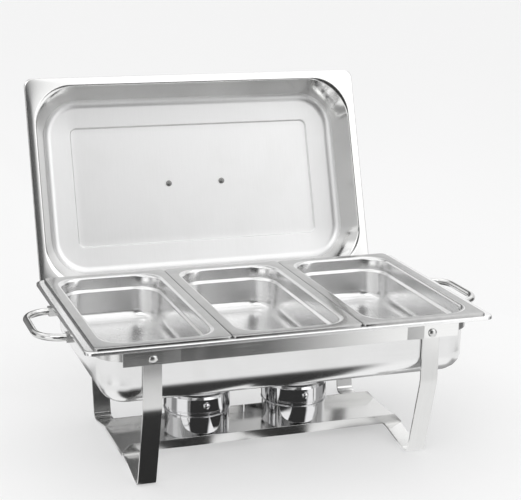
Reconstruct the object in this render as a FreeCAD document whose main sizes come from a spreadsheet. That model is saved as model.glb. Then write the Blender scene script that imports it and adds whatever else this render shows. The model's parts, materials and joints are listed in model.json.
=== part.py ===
import FreeCAD, Part
import math
import os
import Sketcher

# Chafing dish food warmer. A folding stand of flat steel strip carries a water pan, three food pans sit side by
# side in it, two burner holders stand on a shelf between the legs, and the lid is parked upright behind the dish.
# Millimetres. X runs along the dish, -Y is the front, Z is up and 0 on the table.

SIZES = (
    ("sheet", 0.9, "metal of the pans and the lid"),
    ("food_pan_width", 176.0, "food pan flange, along the dish"),
    ("food_pan_reach", 325.0, "food pan flange, front to back"),
    ("food_pan_depth", 65.0, "flange top to pan floor"),
    ("food_pan_flange", 15.0, "flange around a food pan"),
    ("food_pan_lip", 3.5, "flange top to the edge of its lip"),
    ("food_pan_corner", 38.0, "corner radius of the food pan's opening"),
    ("food_pan_gap", 0.6, "gap between two food pans"),
    ("shoulder_depth", 20.0, "stacking shoulder below the flange"),
    ("shoulder_step", 3.0, "how far the wall steps in at the shoulder"),
    ("food_pan_bend", 16.0, "radius between food pan wall and floor"),
    ("basin_gap", 1.4, "food pan body to water pan wall"),
    ("rim_height", 200.5, "water pan rim above the table"),
    ("rim_margin", 11.5, "water pan rim beyond the food pans at the ends"),
    ("rim_margin_side", 3.5, "water pan rim beyond the food pans, front and back"),
    ("rim_corner", 12.0, "corner radius of the rims"),
    ("rim_lip", 5.0, "downturned lip of the water pan"),
    ("basin_depth", 84.0, "water pan rim to its underside"),
    ("basin_corner", 40.0, "upright corner radius of the water pan"),
    ("basin_bend", 32.0, "radius between water pan wall and floor"),
    ("lid_inset", 3.6, "lid flange inside the food pans' edges, at the ends"),
    ("lid_inset_side", 1.5, "lid flange inside the food pans' edges, front and back"),
    ("lid_hem", 3.0, "upturned edge of the lid flange"),
    ("lid_flange", 12.0, "flange around the lid"),
    ("lid_height", 42.0, "lid flange to its top"),
    ("lid_corner", 64.0, "corner radius of the lid's mouth"),
    ("lid_draft", 20.0, "how far the lid's walls lean in over their height"),
    ("lid_bend", 15.0, "radius between lid wall and top"),
    ("panel_margin", 70.0, "raised panel inside the lid's edge, all round"),
    ("panel_rise", 1.6, "height of the raised panel"),
    ("panel_corner", 10.0, "corner radius of the raised panel"),
    ("lid_seat_gap", 0.3, "closed lid above the food pan flange"),
    ("lid_open_angle", 109.0, "parked lid from closed"),
    ("lid_pivot_out", 1.0, "lid pivot behind the rim's edge"),
    ("lid_pivot_drop", 34.0, "lid pivot below the food pan flange"),
    ("grip_spacing", 85.0, "between the lid handle's screws"),
    ("grip_height", 36.0, "lid handle above the lid"),
    ("grip_bar", 5.0, "radius of the lid handle's bar"),
    ("grip_bend", 15.0, "bend radius of the lid handle"),
    ("screw_radius", 2.5, "lid handle screw"),
    ("strip", 2.5, "thickness of the leg strip"),
    ("leg_width", 24.4, "width of the leg strip"),
    ("leg_inset", 38.2, "leg centre line from the rail's end"),
    ("pivot_drop", 19.0, "leg pivot below the water pan rim"),
    ("leg_gap", 1.1, "water pan wall to leg"),
    ("pivot_play", 0.06, "rivet shaft to the hole that turns on it"),
    ("knee_drop", 2.5, "where the leg starts to lean in, below the water pan"),
    ("knee_bend", 60.0, "bend radius where the leg starts to lean in"),
    ("toe_bend", 9.0, "bend radius on the outside of the foot"),
    ("heel_bend", 20.0, "bend radius on the inside of the foot"),
    ("seat_bend", 30.0, "bend radius beside the shelf"),
    ("seat_margin", 4.0, "level strip beside the shelf"),
    ("foot_reach", 122.0, "foot from the middle, front and back"),
    ("foot_flat", 14.0, "flat of the foot"),
    ("shelf_height", 14.0, "underside of the shelf"),
    ("rail_thickness", 2.0, "rail strip"),
    ("rail_height", 18.5, "rail, bottom to top"),
    ("rail_inset", 23.9, "rail end from the water pan's end wall"),
    ("rail_rise", 2.0, "rail's centre line above the pivots"),
    ("rail_plate", 50.0, "outer flat length at each rail end"),
    ("rail_joggle", 24.0, "length of the joggle"),
    ("joggle_step", 0.8, "how far the joggle steps out"),
    ("rail_gap", 0.2, "leg to the middle of the rail"),
    ("bracket_height", 20.0, "end bracket, bottom to top"),
    ("bracket_gap", 2.5, "water pan end wall to end bracket"),
    ("bracket_overlap", 22.0, "end bracket behind the rail end"),
    ("handle_bar", 4.75, "radius of the end handle's bar"),
    ("handle_out", 61.6, "end handle beyond the end bracket"),
    ("handle_spread", 58.0, "end handle arm from the middle"),
    ("handle_drop", 13.5, "end handle below the water pan rim"),
    ("handle_bend", 34.0, "bend radius of the end handle"),
    ("lug_length", 22.0, "lug on the end bracket"),
    ("lug_width", 13.0, "lug, front to back"),
    ("lug_height", 11.4, "lug, bottom to top"),
    ("lug_socket", 9.0, "depth of the lug's socket"),
    ("shelf_metal", 1.2, "metal of the shelf"),
    ("shelf_margin", 3.5, "shelf beyond a burner cup, front and back"),
    ("shelf_flange", 12.5, "shelf flange, from its underside"),
    ("shelf_chamfer", 10.5, "cut-back of the flange ends"),
    ("shelf_hook", 3.2, "end lip that hooks over the legs"),
    ("hook_gap", 0.4, "leg strip to end lip"),
    ("notch_width", 2.0, "slot in the rear flange"),
    ("cup_radius", 44.5, "burner cup"),
    ("flame_gap", 35.3, "burner holder to the water pan's underside"),
    ("cup_metal", 1.0, "metal of the burner holder"),
    ("cup_bead", 1.1, "bead around the cup's mouth"),
    ("cup_bend", 4.0, "bend between the cup's wall and floor"),
    ("cap_bend", 5.0, "bend between the cap's wall and top"),
    ("cap_share", 0.3485, "share of the burner holder's height that is the cap"),
    ("cap_spigot", 7.0, "spigot that sits in the cup"),
    ("cap_clearance", 0.4, "spigot to cup"),
    ("flame_radius", 21.0, "flame opening in the cap"),
    ("damper_radius", 25.0, "damper disc over the flame opening"),
    ("damper_pivot", 33.0, "damper pivot from the cap's centre"),
    ("damper_play", 0.1, "damper above the cap"),
    ("seat_play", 0.05, "gap between two pieces that rest on each other"),
    ("rivet_shaft", 1.6, "damper rivet"),
    ("knob_shaft", 1.5, "knob's shaft through the cap"),
    ("knob_radius", 4.6, "knob on the front of the cap"),
    ("knob_share", 0.435, "knob above the cap's lower edge, as a share of the cap"),
    ("burner_left_x", -85.5, "left burner holder"),
    ("burner_right_x", 57.0, "right burner holder"),
)

doc = FreeCAD.newDocument("chafing_dish")
sheet = doc.addObject("Spreadsheet::Sheet", "Sizes")
for row, (alias, value, note) in enumerate(SIZES, start=1):
    sheet.set(f"A{row}", note)
    sheet.set(f"B{row}", str(value))
    sheet.setAlias(f"B{row}", alias)
doc.recompute()

UP = FreeCAD.Vector(0, 0, 1)
nodes = []


def size(text):
    """Value of an expression written with the sheet's names."""
    return float(sheet.evalExpression(named(text)))


def named(text):
    """The expression with each size written as the sheet's own cell."""
    words = text.replace("(", " ( ").replace(")", " ) ").split()
    aliases = {row[0] for row in SIZES}
    return " ".join("Sizes." + word if word in aliases else word for word in words)


def bind(target, prop, text):
    target.setExpression(prop, named(text))


# Sizes that several pieces share
flange_top = "( rim_height + food_pan_lip )"
food_body = "( food_pan_reach - 2 * food_pan_flange )"
basin_length = "( 3 * food_pan_width + 2 * food_pan_gap - 2 * food_pan_flange + 2 * basin_gap + 2 * sheet )"
basin_reach = f"( {food_body} + 2 * basin_gap + 2 * sheet )"
rim_length = "( 3 * food_pan_width + 2 * food_pan_gap + 2 * rim_margin )"
rim_reach = "( food_pan_reach + 2 * rim_margin_side )"
leg_inner = f"( {basin_reach} / 2 + leg_gap )"
rail_inner = f"( {leg_inner} + strip + rail_gap )"
plate_inner = f"( {rail_inner} + joggle_step )"
bracket_outer = f"( {basin_length} / 2 + bracket_gap + rail_thickness )"
bracket_top = "( rim_height - sheet )"
rail_length = f"( {basin_length} - 2 * rail_inset )"
leg_centre = f"( {rail_length} / 2 - leg_inset )"
pivot_height = "( rim_height - pivot_drop )"
handle_height = "( rim_height - handle_drop )"
pan_underside = "( rim_height - basin_depth )"
pivot_shaft = "( strip * 1.2 )"
lid_length = "( 3 * food_pan_width + 2 * food_pan_gap - 2 * lid_inset )"
lid_reach = "( food_pan_reach - 2 * lid_inset_side )"
shelf_reach = "( cup_radius + shelf_margin )"
shelf_half = f"( {leg_centre} + leg_width / 2 + hook_gap + shelf_metal )"
cup_floor = "( shelf_height + shelf_metal )"
burner_height = f"( {pan_underside} - flame_gap - {cup_floor} )"
cap_height = f"( {burner_height} * cap_share )"
cup_height = f"( {burner_height} - {cap_height} )"
knob_height = f"( {cap_height} * knob_share )"


def new_body(label):
    body = doc.addObject("PartDesign::Body", label)
    body.Label = label
    return body


def add_node(label, thing):
    thing.Label = label
    nodes.append((label, thing))
    return thing


def new_sketch(body, name, role, lift=None):
    """A sketch on one of the body's own origin planes, raised along the plane's normal."""
    sketch = body.newObject("Sketcher::SketchObject", name)
    plane = [face for face in body.Origin.OriginFeatures if face.Role == role][0]
    sketch.AttachmentSupport = [(plane, "")]
    sketch.MapMode = "FlatFace"
    if lift:
        bind(sketch, "AttachmentOffset.Base.z", lift)
    return sketch


def rounded_rectangle(sketch, wide, deep, corner):
    """Rounded rectangle about the sketch's origin, its three sizes bound to the sheet."""
    w, d, r = 50.0, 40.0, 8.0
    sides = (((r - w, -d), (w - r, -d)), ((w, r - d), (w, d - r)), ((w - r, d), (r - w, d)), ((-w, d - r), (-w, r - d)))
    centres = ((w - r, r - d, -90), (w - r, d - r, 0), (r - w, d - r, 90), (r - w, r - d, 180))
    lines = []
    arcs = []
    for start, end in sides:
        segment = Part.LineSegment(FreeCAD.Vector(*start, 0), FreeCAD.Vector(*end, 0))
        lines.append(sketch.addGeometry(segment, False))
    for x, y, angle in centres:
        circle = Part.Circle(FreeCAD.Vector(x, y, 0), UP, r)
        arc = Part.ArcOfCircle(circle, math.radians(angle), math.radians(angle + 90))
        arcs.append(sketch.addGeometry(arc, False))
    for k in range(4):
        sketch.addConstraint(Sketcher.Constraint("Tangent", lines[k], 2, arcs[k], 1))
        sketch.addConstraint(Sketcher.Constraint("Tangent", arcs[k], 2, lines[(k + 1) % 4], 1))
        way = "Vertical" if k % 2 else "Horizontal"
        sketch.addConstraint(Sketcher.Constraint(way, lines[k]))
    for k in range(1, 4):
        sketch.addConstraint(Sketcher.Constraint("Equal", arcs[0], arcs[k]))
    sketch.addConstraint(Sketcher.Constraint("Symmetric", arcs[0], 3, arcs[2], 3, -1, 1))
    across = sketch.addConstraint(Sketcher.Constraint("DistanceX", lines[3], 1, lines[1], 1, 2 * w))
    along = sketch.addConstraint(Sketcher.Constraint("DistanceY", lines[0], 1, lines[2], 1, 2 * d))
    turn = sketch.addConstraint(Sketcher.Constraint("Radius", arcs[0], r))
    bind(sketch, f"Constraints[{across}]", wide)
    bind(sketch, f"Constraints[{along}]", deep)
    bind(sketch, f"Constraints[{turn}]", corner)


def add_circle(sketch, radius, x="0", y="0"):
    """Circle whose radius and centre are bound to the sheet."""
    centre = FreeCAD.Vector(size(x), size(y), 0)
    ring = sketch.addGeometry(Part.Circle(centre, UP, size(radius)), False)
    turn = sketch.addConstraint(Sketcher.Constraint("Radius", ring, size(radius)))
    bind(sketch, f"Constraints[{turn}]", radius)
    for way, text, value in (("DistanceX", x, centre.x), ("DistanceY", y, centre.y)):
        place = sketch.addConstraint(Sketcher.Constraint(way, -1, 1, ring, 3, value))
        bind(sketch, f"Constraints[{place}]", text)


def add_outline(sketch, points):
    """Closed outline through points given as expressions, each one placed by the sheet."""
    places = [FreeCAD.Vector(size(x), size(y), 0) for x, y in points]
    count = len(places)
    lines = [sketch.addGeometry(Part.LineSegment(places[k], places[(k + 1) % count]), False) for k in range(count)]
    for k in range(count):
        sketch.addConstraint(Sketcher.Constraint("Coincident", lines[k], 2, lines[(k + 1) % count], 1))
    for line, place, (x, y) in zip(lines, places, points):
        for way, text, value in (("DistanceX", x, place.x), ("DistanceY", y, place.y)):
            spot = sketch.addConstraint(Sketcher.Constraint(way, -1, 1, line, 1, value))
            bind(sketch, f"Constraints[{spot}]", text)


def add_route(sketch, points, bends):
    """Open route of straight lines with a round bend at each inner point; sizes come from the sheet."""
    spots = [FreeCAD.Vector(size(x), size(y), 0) for x, y in points]
    start = spots[0]
    for k, bend in enumerate(bends, start=1):
        into = (spots[k] - spots[k - 1]).normalize()
        out = (spots[k + 1] - spots[k]).normalize()
        turn = into.getAngle(out)
        setback = size(bend) * math.tan(turn / 2)
        end = spots[k] - into * setback
        after = spots[k] + out * setback
        middle = spots[k] + (out - into).normalize() * (setback / math.sin(turn / 2) - size(bend))
        sketch.addGeometry(Part.LineSegment(start, end), False)
        sketch.addGeometry(Part.Arc(end, middle, after), False)
        start = after
    sketch.addGeometry(Part.LineSegment(start, spots[-1]), False)


def add_pad(body, name, sketch, length, down=False, both=False):
    pad = body.newObject("PartDesign::Pad", name)
    pad.Profile = sketch
    bind(pad, "Length", length)
    pad.Reversed = down
    pad.Midplane = both
    doc.recompute()
    return pad


def add_pocket(body, name, sketch, length=None, flip=False):
    """Pocket of one length, or through everything both ways when no length is given."""
    before = body.Shape.Volume
    pocket = body.newObject("PartDesign::Pocket", name)
    pocket.Profile = sketch
    if length:
        bind(pocket, "Length", length)
        pocket.Reversed = flip
    else:
        pocket.Type = 1
        pocket.Midplane = True
    doc.recompute()
    if body.Shape.Volume >= before:
        raise ValueError(f"{body.Label} {name} cuts nothing")
    return pocket


def flat_edges(shape, level):
    """Names of the edges that lie at one height."""
    found = []
    for k, edge in enumerate(shape.Edges, start=1):
        box = edge.BoundBox
        if abs(box.ZMin - level) < 1e-4 and abs(box.ZMax - level) < 1e-4:
            found.append(f"Edge{k}")
    return found


def flat_faces(shape, level):
    """Names of the faces that lie at one height."""
    found = []
    for k, face in enumerate(shape.Faces, start=1):
        box = face.BoundBox
        if abs(box.ZMin - level) < 1e-4 and abs(box.ZMax - level) < 1e-4:
            found.append(f"Face{k}")
    return found


def add_fillet(body, name, base, edges, radius):
    fillet = body.newObject("PartDesign::Fillet", name)
    fillet.Base = (base, edges)
    bind(fillet, "Radius", radius)
    doc.recompute()
    return fillet


def hollow_out(body, name, base, faces, metal):
    """Leaves a wall of the metal's thickness inside the shape and opens the faces."""
    shell = body.newObject("PartDesign::Thickness", name)
    shell.Base = (base, faces)
    bind(shell, "Value", metal)
    shell.Reversed = True
    doc.recompute()
    return shell


def add_revolution(body, name, points, role="XZ_Plane"):
    """Outline given as radius and height, turned about the upright axis."""
    sketch = new_sketch(body, name + "_outline", role)
    add_outline(sketch, points)
    turned = body.newObject("PartDesign::Revolution", name)
    turned.Profile = sketch
    turned.ReferenceAxis = (sketch, ["V_Axis"])
    turned.Angle = 360.0
    doc.recompute()
    return turned


def add_pipe(body, name, profile, route):
    pipe = body.newObject("PartDesign::AdditivePipe", name)
    pipe.Profile = profile
    pipe.Spine = route
    doc.recompute()
    return pipe


def add_rim(body, level, wide, deep, corner, hole_wide, hole_deep, hole_corner, lip):
    """Flat flange around a pan's mouth with a lip turned down at its edge."""
    flange = new_sketch(body, "flange_outline", "XY_Plane", level)
    rounded_rectangle(flange, wide, deep, corner)
    rounded_rectangle(flange, hole_wide, hole_deep, hole_corner)
    add_pad(body, "flange", flange, "sheet", down=True)
    edge = new_sketch(body, "lip_outline", "XY_Plane", level)
    rounded_rectangle(edge, wide, deep, corner)
    rounded_rectangle(edge, f"{wide} - 2 * sheet", f"{deep} - 2 * sheet", f"{corner} - sheet")
    return add_pad(body, "lip", edge, lip, down=True)


def make_water_pan():
    body = new_body("water_pan")
    mouth = new_sketch(body, "mouth", "XY_Plane", "rim_height")
    rounded_rectangle(mouth, basin_length, basin_reach, "basin_corner")
    block = add_pad(body, "block", mouth, "basin_depth", down=True)
    floor = flat_edges(block.Shape, size("rim_height - basin_depth"))
    rounded = add_fillet(body, "floor_bend", block, floor, "basin_bend")
    hollow_out(body, "basin", rounded, flat_faces(rounded.Shape, size("rim_height")), "sheet")
    add_rim(
        body, "rim_height", rim_length, rim_reach, "rim_corner",
        f"{basin_length} - 2 * sheet", f"{basin_reach} - 2 * sheet", "basin_corner - sheet", "rim_lip",
    )
    return add_node("water_pan", body)


def make_food_pan(label, place):
    """One of the three food pans; place is -1, 0 or 1 along the dish."""
    body = new_body(label)
    wide = "( food_pan_width - 2 * food_pan_flange )"
    upper = new_sketch(body, "upper_mouth", "XY_Plane", flange_top)
    rounded_rectangle(upper, wide, food_body, "food_pan_corner")
    add_pad(body, "upper", upper, "shoulder_depth", down=True)
    lower = new_sketch(body, "lower_mouth", "XY_Plane", flange_top)
    step = "2 * shoulder_step"
    rounded_rectangle(lower, f"{wide} - {step}", f"{food_body} - {step}", "food_pan_corner - shoulder_step")
    block = add_pad(body, "lower", lower, "food_pan_depth", down=True)
    floor = flat_edges(block.Shape, size(f"{flange_top} - food_pan_depth"))
    rounded = add_fillet(body, "floor_bend", block, floor, "food_pan_bend")
    hollow_out(body, "basin", rounded, flat_faces(rounded.Shape, size(flange_top)), "sheet")
    add_rim(
        body, flange_top, "food_pan_width", "food_pan_reach", "rim_corner / 2",
        f"{wide} - 2 * sheet", f"{food_body} - 2 * sheet", "food_pan_corner - sheet", "food_pan_lip",
    )
    bind(body, "Placement.Base.x", f"{place} * ( food_pan_width + food_pan_gap )")
    return add_node(label, body)


def make_lid_shell():
    """Lid with its flange at height 0 and its top up; it is parked afterwards."""
    body = new_body("lid_shell")
    mouth_length = f"( {lid_length} - 2 * lid_flange )"
    mouth_reach = f"( {lid_reach} - 2 * lid_flange )"
    draft = "2 * lid_draft"
    for kind, metal in (("AdditiveLoft", "0"), ("SubtractiveLoft", "sheet")):
        mouth = new_sketch(body, kind + "_mouth", "XY_Plane")
        wide = f"( {mouth_length} - 2 * {metal} )"
        deep = f"( {mouth_reach} - 2 * {metal} )"
        rounded_rectangle(mouth, wide, deep, f"lid_corner - {metal}")
        top = new_sketch(body, kind + "_top", "XY_Plane", f"lid_height - {metal}")
        rounded_rectangle(top, f"{wide} - {draft}", f"{deep} - {draft}", f"lid_corner - lid_draft / 2 - {metal}")
        dome = body.newObject("PartDesign::" + kind, kind)
        dome.Profile = mouth
        dome.Sections = [top]
        doc.recompute()
    inner_edge = flat_edges(dome.Shape, size("lid_height - sheet"))
    inside = add_fillet(body, "inner_bend", dome, inner_edge, "lid_bend - sheet")
    add_fillet(body, "outer_bend", inside, flat_edges(inside.Shape, size("lid_height")), "lid_bend")
    panel = new_sketch(body, "panel_outline", "XY_Plane", "lid_height - sheet")
    panel_length = f"( {lid_length} - 2 * panel_margin )"
    panel_reach = f"( {lid_reach} - 2 * panel_margin )"
    rounded_rectangle(panel, panel_length, panel_reach, "panel_corner")
    add_pad(body, "panel", panel, "sheet + panel_rise")
    recess = new_sketch(body, "recess_outline", "XY_Plane", "lid_height + panel_rise - sheet")
    narrower = "2 * sheet"
    recess_sizes = (f"{panel_length} - {narrower}", f"{panel_reach} - {narrower}", "panel_corner - sheet")
    rounded_rectangle(recess, *recess_sizes)
    add_pocket(body, "recess", recess, "panel_rise + sheet")
    flange = new_sketch(body, "flange_outline", "XY_Plane")
    rounded_rectangle(flange, lid_length, lid_reach, "rim_corner")
    inner = "2 * sheet"
    rounded_rectangle(flange, f"{mouth_length} - {inner}", f"{mouth_reach} - {inner}", "lid_corner - sheet")
    add_pad(body, "flange", flange, "sheet")
    hem = new_sketch(body, "hem_outline", "XY_Plane")
    rounded_rectangle(hem, lid_length, lid_reach, "rim_corner")
    rounded_rectangle(hem, f"{lid_length} - {inner}", f"{lid_reach} - {inner}", "rim_corner - sheet")
    add_pad(body, "hem", hem, "lid_hem")
    holes = new_sketch(body, "screw_holes", "XY_Plane", "lid_height + 2 * panel_rise")
    for side in (-1, 1):
        add_circle(holes, "screw_radius", f"{side} * grip_spacing / 2")
    add_pocket(body, "screw_hole_pair", holes, "lid_height")
    return add_node("lid_shell", body)


def make_lid_handle():
    """Arched bar on the lid's top, with a round foot and a screw socket under each end."""
    body = new_body("lid_handle")
    lid_top = "( lid_height + panel_rise )"
    half = "grip_spacing / 2"
    route = new_sketch(body, "route", "XZ_Plane")
    arch = f"{lid_top} + grip_height"
    spots = ((f"-{half}", lid_top), (f"-{half}", arch), (half, arch), (half, lid_top))
    add_route(route, [(x.replace("-", "-1 * "), y) for x, y in spots], ["grip_bend"] * 2)
    profile = new_sketch(body, "profile", "XY_Plane", lid_top)
    add_circle(profile, "grip_bar", "-1 * grip_spacing / 2")
    add_pipe(body, "bar", profile, route)
    feet = new_sketch(body, "feet_outline", "XY_Plane", lid_top)
    for side in (-1, 1):
        add_circle(feet, "1.8 * grip_bar", f"{side} * grip_spacing / 2")
    add_pad(body, "feet", feet, "grip_bar / 2")
    sockets = new_sketch(body, "socket_outline", "XY_Plane", lid_top)
    for side in (-1, 1):
        add_circle(sockets, "screw_radius", f"{side} * grip_spacing / 2")
    add_pocket(body, "sockets", sockets, "3 * screw_radius", flip=True)
    return add_node("lid_handle", body)


def make_lid_screws():
    """Two round-headed screws from inside the lid into the handle."""
    under = "( lid_height + panel_rise - sheet )"
    tip = f"( {under} + sheet + 3 * screw_radius )"
    screws = []
    for side, name in ((-1, "lid_screw_left"), (1, "lid_screw_right")):
        body = new_body(name)
        outline = (
            ("0", f"{under} - 1.4 * screw_radius"), ("1.2 * screw_radius", f"{under} - 1.4 * screw_radius"),
            ("1.9 * screw_radius", f"{under} - 0.7 * screw_radius"), ("1.9 * screw_radius", under),
            ("screw_radius", under), ("screw_radius", tip), ("0", tip),
        )
        add_revolution(body, "screw", outline)
        bind(body, "Placement.Base.x", f"{side} * grip_spacing / 2")
        screws.append(body)
    doc.recompute()
    group = doc.addObject("Part::Compound", "lid_handle_screws")
    group.Links = screws
    return add_node("lid_handle_screws", group)


def make_rail(label, turn):
    """Rail along one side: a flat strip whose ends step out past the legs."""
    body = new_body(label)
    outer_end = f"{rail_length} / 2"
    plate_end = f"( {rail_length} / 2 - rail_plate )"
    middle_end = f"( {rail_length} / 2 - rail_plate - rail_joggle )"
    near = f"-1 * {rail_inner}"
    far = f"-1 * {plate_inner}"
    face = [(outer_end, far), (plate_end, far), (middle_end, near)]
    inner = face + [(f"-1 * {x}", y) for x, y in reversed(face)]
    outer = [(x, f"{y} - rail_thickness") for x, y in reversed(inner)]
    strip = new_sketch(body, "strip_outline", "XY_Plane", f"{pivot_height} + rail_rise - rail_height / 2")
    add_outline(strip, inner + outer)
    add_pad(body, "strip", strip, "rail_height")
    holes = new_sketch(body, "pivot_outline", "XZ_Plane")
    for side in (-1, 1):
        add_circle(holes, pivot_shaft, f"{side} * {leg_centre}", pivot_height)
    add_pocket(body, "pivot_holes", holes)
    body.Placement = FreeCAD.Placement(FreeCAD.Vector(), FreeCAD.Rotation(UP, turn))
    return add_node(label, body)


def make_end_bracket(label, turn):
    """C-shaped strip around one end of the water pan; its top edge carries the pan's rim."""
    body = new_body(label)
    half_reach = plate_inner
    ring = new_sketch(body, "ring_outline", "XY_Plane", bracket_top)
    corner = "( basin_corner + bracket_gap + rail_thickness )"
    rounded_rectangle(ring, f"2 * {bracket_outer}", f"2 * {half_reach}", corner)
    metal = "rail_thickness"
    inner = (f"2 * ( {bracket_outer} - {metal} )", f"2 * ( {half_reach} - {metal} )", f"{corner} - {metal}")
    rounded_rectangle(ring, *inner)
    add_pad(body, "ring", ring, "bracket_height", down=True)
    cut = new_sketch(body, "cut_outline", "XY_Plane", bracket_top)
    start = f"{rail_length} / 2 - bracket_overlap"
    left = f"-2 * {bracket_outer}"
    low, high = f"-2 * {half_reach}", f"2 * {half_reach}"
    add_outline(cut, ((left, low), (start, low), (start, high), (left, high)))
    add_pocket(body, "open_side", cut, "bracket_height * 2")
    body.Placement = FreeCAD.Placement(FreeCAD.Vector(), FreeCAD.Rotation(UP, turn))
    return add_node(label, body)


def make_lug(label, side, turn):
    """Block on an end bracket with a blind socket for one handle arm."""
    body = new_body(label)
    outline = new_sketch(body, "lug_outline", "YZ_Plane", bracket_outer)
    low = f"{handle_height} - lug_height / 2"
    high = f"{handle_height} + lug_height / 2"
    near = f"( {side} * handle_spread - lug_width / 2 )"
    far = f"( {side} * handle_spread + lug_width / 2 )"
    add_outline(outline, ((near, low), (far, low), (far, high), (near, high)))
    add_pad(body, "block", outline, "lug_length")
    socket = new_sketch(body, "socket_outline", "YZ_Plane", f"{bracket_outer} + lug_length")
    add_circle(socket, "handle_bar", f"{side} * handle_spread", handle_height)
    add_pocket(body, "socket", socket, "lug_socket")
    body.Placement = FreeCAD.Placement(FreeCAD.Vector(), FreeCAD.Rotation(UP, turn))
    return add_node(label, body)


def make_end_handle(label, turn):
    """Loop of round bar at one end of the dish."""
    body = new_body(label)
    start = f"( {bracket_outer} + lug_length - lug_socket )"
    reach = f"( {bracket_outer} + handle_out - handle_bar )"
    spread = "handle_spread"
    route = new_sketch(body, "route", "XY_Plane", handle_height)
    spots = ((start, f"-1 * {spread}"), (reach, f"-1 * {spread}"), (reach, spread), (start, spread))
    add_route(route, spots, ["handle_bend"] * 2)
    profile = new_sketch(body, "profile", "YZ_Plane", start)
    add_circle(profile, "handle_bar", f"-1 * {spread}", handle_height)
    add_pipe(body, "bar", profile, route)
    body.Placement = FreeCAD.Placement(FreeCAD.Vector(), FreeCAD.Rotation(UP, turn))
    return add_node(label, body)


def make_leg(label, side):
    """One strip that is a front leg, a foot, the support under the shelf, a foot and a rear leg."""
    body = new_body(label)
    mid = "strip / 2"
    wall = f"( {leg_inner} + {mid} )"
    top = f"( {pivot_height} + leg_width / 2 )"
    under = f"( shelf_height - {mid} )"
    front = [
        (f"-1 * {wall}", top), (f"-1 * {wall}", f"{pan_underside} - knee_drop"), (f"-1 * ( foot_reach + {mid} )", mid),
        ("-1 * ( foot_reach - foot_flat )", mid), (f"-1 * ( {shelf_reach} + seat_margin )", under),
    ]
    rear = [(y.replace("-1 * ", "1 * "), z) for y, z in reversed(front)]
    bends = ["knee_bend", "toe_bend", "heel_bend", "seat_bend"]
    route = new_sketch(body, "route", "YZ_Plane")
    add_route(route, front + rear, bends + bends[::-1])
    profile = new_sketch(body, "profile", "XY_Plane", top)
    left = f"( {side} * {leg_centre} - leg_width / 2 )"
    right = f"( {side} * {leg_centre} + leg_width / 2 )"
    near, far = f"-1 * ( {leg_inner} + strip )", f"-1 * {leg_inner}"
    add_outline(profile, ((left, near), (right, near), (right, far), (left, far)))
    strip = add_pipe(body, "strip", profile, route)
    corners = []
    for k, edge in enumerate(strip.Shape.Edges, start=1):
        box = edge.BoundBox
        at_top = abs(box.ZMin - size(top)) < 1e-4
        if at_top and box.YLength > size("strip") / 2:
            corners.append(f"Edge{k}")
    add_fillet(body, "rounded_ends", strip, corners, "leg_width / 3")
    holes = new_sketch(body, "pivot_outline", "XZ_Plane")
    add_circle(holes, f"{pivot_shaft} + pivot_play", f"{side} * {leg_centre}", pivot_height)
    add_pocket(body, "pivot_holes", holes)
    return add_node(label, body)


def make_pivot_rivets():
    """Four domed rivets, one through each leg top and rail end."""
    shaft = pivot_shaft
    head = "strip * 2.4"
    gap = "( rail_gap + joggle_step )"
    rail_back = f"( strip + {gap} )"
    rail_front = f"( {rail_back} + rail_thickness )"
    outline = (
        ("0", "-0.7"), (f"{head} * 0.9", "-0.7"), (f"{head} * 0.9", "-0.04"), (shaft, "-0.04"),
        (shaft, "strip + 0.05"), (head, "strip + 0.05"), (head, rail_back), (shaft, rail_back),
        (shaft, rail_front), (head, rail_front), (head, f"{rail_front} + 0.8"), (f"{head} * 0.75", f"{rail_front} + 2.1"),
        (f"{head} * 0.4", f"{rail_front} + 2.8"), ("0", f"{rail_front} + 3"),
    )
    rivets = []
    for side in (-1, 1):
        for face in (-1, 1):
            body = new_body(f"pivot_rivet_{len(rivets) + 1}")
            add_revolution(body, "rivet", outline)
            body.Placement.Rotation = FreeCAD.Rotation(UP, FreeCAD.Vector(0, face, 0))
            bind(body, "Placement.Base.x", f"{side} * {leg_centre}")
            bind(body, "Placement.Base.y", f"{face} * {leg_inner}")
            bind(body, "Placement.Base.z", pivot_height)
            rivets.append(body)
    doc.recompute()
    group = doc.addObject("Part::Compound", "pivot_rivets")
    group.Links = rivets
    return add_node("pivot_rivets", group)


def make_shelf():
    """Channel tray on the legs, with lips at its ends that hook over them."""
    body = new_body("burner_shelf")
    edge, metal = shelf_reach, "shelf_metal"
    low, floor = "shelf_height", cup_floor
    high = "( shelf_height + shelf_flange )"
    right = ((edge, low), (edge, high), (f"{edge} - {metal}", high), (f"{edge} - {metal}", floor))
    left = tuple((f"-1 * ( {y} )", z) for y, z in reversed(right))
    channel = new_sketch(body, "channel_outline", "YZ_Plane")
    add_outline(channel, right + left)
    add_pad(body, "channel", channel, f"2 * {shelf_half}", both=True)
    corners = new_sketch(body, "chamfer_outline", "XZ_Plane")
    for side in (-1, 1):
        end = f"{side} * {shelf_half}"
        past = f"{side} * ( {shelf_half} + 5 )"
        back = f"{side} * ( {shelf_half} - shelf_chamfer )"
        above = f"{high} + 1"
        add_outline(corners, ((end, floor), (past, floor), (past, above), (back, above), (back, high)))
    add_pocket(body, "chamfers", corners)
    hooks = new_sketch(body, "hook_outline", "XY_Plane", "shelf_height")
    for side in (-1, 1):
        out = f"{side} * {shelf_half}"
        inside = f"{side} * ( {shelf_half} - {metal} )"
        front = f"-1 * {edge}"
        add_outline(hooks, ((inside, front), (out, front), (out, edge), (inside, edge)))
    add_pad(body, "hooks", hooks, "shelf_hook", down=True)
    notch = new_sketch(body, "notch_outline", "XZ_Plane")
    half = "notch_width / 2"
    add_outline(notch, ((f"-1 * {half}", floor), (half, floor), (half, f"{high} + 1"), (f"-1 * {half}", f"{high} + 1")))
    add_pocket(body, "notch", notch, f"2 * {edge}")
    return add_node("burner_shelf", body)


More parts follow.
